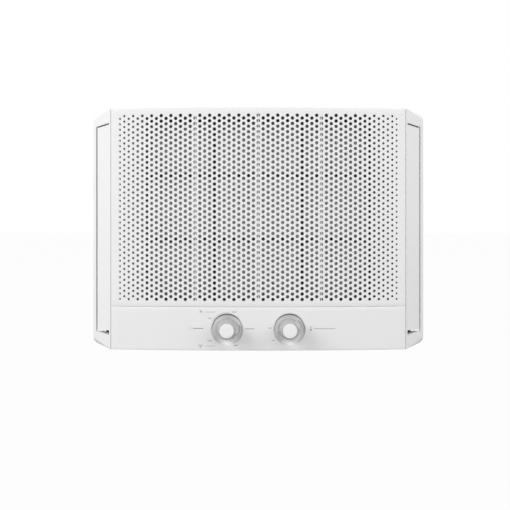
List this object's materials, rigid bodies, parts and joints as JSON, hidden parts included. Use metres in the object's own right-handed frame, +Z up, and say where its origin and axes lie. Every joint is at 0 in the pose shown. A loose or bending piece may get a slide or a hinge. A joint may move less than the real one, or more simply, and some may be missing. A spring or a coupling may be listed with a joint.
{
  "type": "window air conditioner",
  "caption": "Box air conditioner for a window or wall opening: bowed perforated front, two dials below it, a tall vane in each flared side, louvred metal cabinet behind.",
  "frame": {"origin": "bottom centre of the whole object, level with the undersides of the base runners and the fascia", "axes": "+X to the right seen from the room, the front faces -Y, +Z up"},
  "size_m": [0.56, 0.5506, 0.387],
  "materials": {
    "fascia_white": "fine satin white moulded plastic",
    "knob_white": "smooth white moulded plastic",
    "pointer_grey": "grey moulded plastic",
    "filter_grey": "dark moulded plastic",
    "guide_grey": "grey moulded plastic",
    "filter_net": "fine woven polymer net",
    "inner_plastic": "dark moulded plastic",
    "fan_plastic": "dark moulded plastic",
    "foam_white": "expanded foam moulding",
    "cabinet_paint": "powder-coated sheet, light grey",
    "zinc_sheet": "zinc-coated sheet",
    "screw_steel": "plated steel",
    "switch_plastic": "dark moulded plastic",
    "fin_aluminium": "thin plain fins",
    "copper": "drawn copper tube",
    "compressor_black": "black enamel",
    "rubber_black": "moulded rubber",
    "seal_foam": "closed-cell foam strip"
  },
  "bodies": {
    "housing": {"front_bezel": "fascia_white", "intake_grille": "fascia_white", "control_panel": "fascia_white", "filter_guide": "guide_grey", "inlet_plate": "inner_plastic", "drip_tray": "inner_plastic", "condenser_shroud": "inner_plastic", "drain_spout": "inner_plastic", "blower_scroll": "foam_white", "cabinet_sleeve": "cabinet_paint", "rear_guard": "cabinet_paint", "base_pan": "zinc_sheet", "base_runners": "zinc_sheet", "bulkhead": "zinc_sheet", "control_box": "zinc_sheet", "motor_bracket": "zinc_sheet", "capacitor_strap": "zinc_sheet", "fan_motor": "zinc_sheet", "run_capacitor": "zinc_sheet", "cabinet_screws": "screw_steel", "bezel_screws": "screw_steel", "guard_screws": "screw_steel", "compressor_studs": "screw_steel", "rotary_switch": "switch_plastic", "thermostat": "switch_plastic", "evaporator_fins": "fin_aluminium", "condenser_fins": "fin_aluminium", "evaporator_tubes": "copper", "condenser_tubes": "copper", "discharge_pipe": "copper", "liquid_pipe": "copper", "suction_pipe": "copper", "capillary_tube": "copper", "filter_drier": "copper", "compressor": "compressor_black", "accumulator": "compressor_black", "compressor_grommets": "rubber_black", "cable_gland": "rubber_black", "wall_seal": "seal_foam"},
    "mode_dial": {"mode_knob": "knob_white", "mode_knob_cap": "knob_white", "mode_knob_pointer": "pointer_grey", "mode_shaft": "screw_steel"},
    "temperature_dial": {"temperature_knob": "knob_white", "temperature_knob_cap": "knob_white", "temperature_knob_pointer": "pointer_grey", "temperature_shaft": "screw_steel"},
    "left_outlet": {"left_vane": "fascia_white"},
    "right_outlet": {"right_vane": "fascia_white"},
    "air_filter": {"filter_frame": "filter_grey", "filter_mesh": "filter_net"},
    "fan_rotor": {"fan_shaft": "screw_steel", "blower_wheel": "fan_plastic", "condenser_fan": "fan_plastic"}
  },
  "joints": [
    {"name": "mode_turn", "type": "hinge", "parent": "housing", "child": "mode_dial", "pos_m": [-0.0497, -0.25404, 0.0335], "axis": [0, -1, 0], "continuous": true},
    {"name": "temperature_turn", "type": "hinge", "parent": "housing", "child": "temperature_dial", "pos_m": [0.0497, -0.25404, 0.0335], "axis": [0, -1, 0], "range_deg": [-176, 146]},
    {"name": "left_vane_swing", "type": "hinge", "parent": "housing", "child": "left_outlet", "pos_m": [-0.23999, -0.22709, 0.1935], "axis": [0, 0, -1], "range_deg": [0, 45]},
    {"name": "right_vane_swing", "type": "hinge", "parent": "housing", "child": "right_outlet", "pos_m": [0.23999, -0.22709, 0.1935], "axis": [0, 0, 1], "range_deg": [0, 45]},
    {"name": "filter_lift", "type": "slide", "parent": "housing", "child": "air_filter", "axis": [0, 0, 1], "range_m": [0, 0.3]},
    {"name": "fan_spin", "type": "hinge", "parent": "housing", "child": "fan_rotor", "pos_m": [0, 0, 0.205], "axis": [0, 1, 0], "continuous": true}
  ]
}
